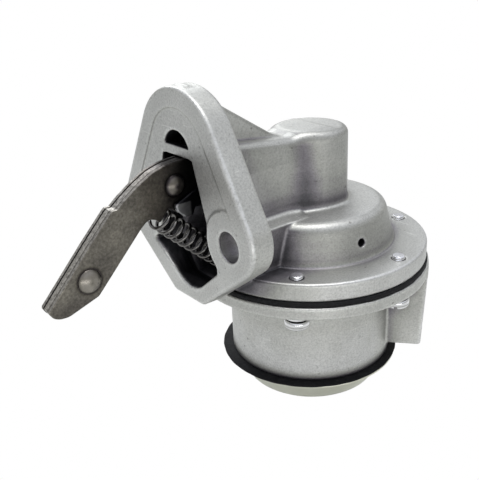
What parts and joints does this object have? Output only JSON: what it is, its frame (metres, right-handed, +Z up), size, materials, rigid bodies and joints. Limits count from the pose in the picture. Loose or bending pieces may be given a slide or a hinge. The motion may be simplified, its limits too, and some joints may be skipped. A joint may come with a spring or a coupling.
{
  "type": "mechanical fuel pump",
  "caption": "Mechanical diaphragm fuel pump with a laminated rocker arm, angled mounting flange, return spring, valve body and pulsator cover.",
  "frame": {"origin": "middle of the two-bolt pattern, on the mounting face", "axes": "-X out of the mounting face towards the engine, +Y along the line of the two bolt holes, +Z up along the diaphragm axis towards the tower"},
  "size_m": [0.1596, 0.094, 0.1347],
  "materials": {
    "cast_aluminium": "sand-blasted die casting, satin",
    "black_diaphragm": "fabric-reinforced rubber, cut edge",
    "dark_steel": "burnished dark pressed steel",
    "rivet_steel": "domed steel rivet",
    "spring_steel": "oiled spring wire",
    "zinc_steel": "bright zinc plate",
    "plated_pressing": "yellowish zinc-plated pressing",
    "black_rubber": "matte moulded rubber",
    "valve_brass": "turned brass",
    "pin_steel": "ground steel"
  },
  "bodies": {
    "housing": {"upper_housing": "cast_aluminium", "lower_body": "cast_aluminium", "main_diaphragm": "black_diaphragm", "pull_rod_seal": "black_rubber", "seal_retainer": "plated_pressing", "diaphragm_spring": "spring_steel", "pivot_pin": "pin_steel", "arm_return_spring": "spring_steel", "rim_screws": "zinc_steel", "rim_lock_washers": "zinc_steel", "pulsator_diaphragm": "black_rubber", "pulsator_cover": "plated_pressing", "cover_screw": "zinc_steel", "cover_screw_washer": "zinc_steel", "inlet_valve_seat": "valve_brass", "inlet_valve_cage": "valve_brass", "inlet_valve_spring": "spring_steel", "outlet_valve_seat": "valve_brass", "outlet_valve_cage": "valve_brass", "outlet_valve_spring": "spring_steel"},
    "rocker_arm": {"arm_plate_near": "dark_steel", "arm_plate_middle": "dark_steel", "arm_plate_far": "dark_steel", "arm_tip_rivet": "rivet_steel", "arm_inner_rivet": "rivet_steel"},
    "link": {"link_lever": "zinc_steel"},
    "diaphragm_stem": {"pull_rod": "pin_steel", "pull_rod_nut": "zinc_steel", "diaphragm_upper_plate": "plated_pressing", "diaphragm_lower_plate": "plated_pressing"},
    "inlet_disc": {"inlet_valve_disc": "black_rubber"},
    "outlet_disc": {"outlet_valve_disc": "black_rubber"}
  },
  "joints": [
    {"name": "arm_rock", "type": "hinge", "parent": "housing", "child": "rocker_arm", "pos_m": [0.0177, 0, 0.0134], "axis": [0, -1, 0], "range_deg": [0, 8], "stiffness_Nm_per_rad": 2, "springref_deg": -17.19, "deforming": ["arm_return_spring"]},
    {"name": "link_rock", "type": "hinge", "parent": "housing", "child": "link", "pos_m": [0.0177, 0, 0.0134], "axis": [0, -1, 0], "range_deg": [0, 8]},
    {"name": "diaphragm_stroke", "type": "slide", "parent": "housing", "child": "diaphragm_stem", "axis": [0, 0, 1], "range_m": [0, 0.0059], "deforming": ["diaphragm_spring", "main_diaphragm"]},
    {"name": "inlet_disc_lift", "type": "slide", "parent": "housing", "child": "inlet_disc", "axis": [0, 0, 1], "range_m": [0, 0.0012], "stiffness_N_per_m": 60, "springref_m": -0.002, "deforming": ["inlet_valve_spring"]},
    {"name": "outlet_disc_lift", "type": "slide", "parent": "housing", "child": "outlet_disc", "axis": [0, 0, -1], "range_m": [0, 0.0012], "stiffness_N_per_m": 60, "springref_m": -0.002, "deforming": ["outlet_valve_spring"]}
  ],
  "couplings": [
    {"joint": "link_rock", "follows": "arm_rock", "ratio": 1},
    {"joint": "diaphragm_stroke", "follows": "arm_rock", "m_per_rad": 0.0422}
  ]
}
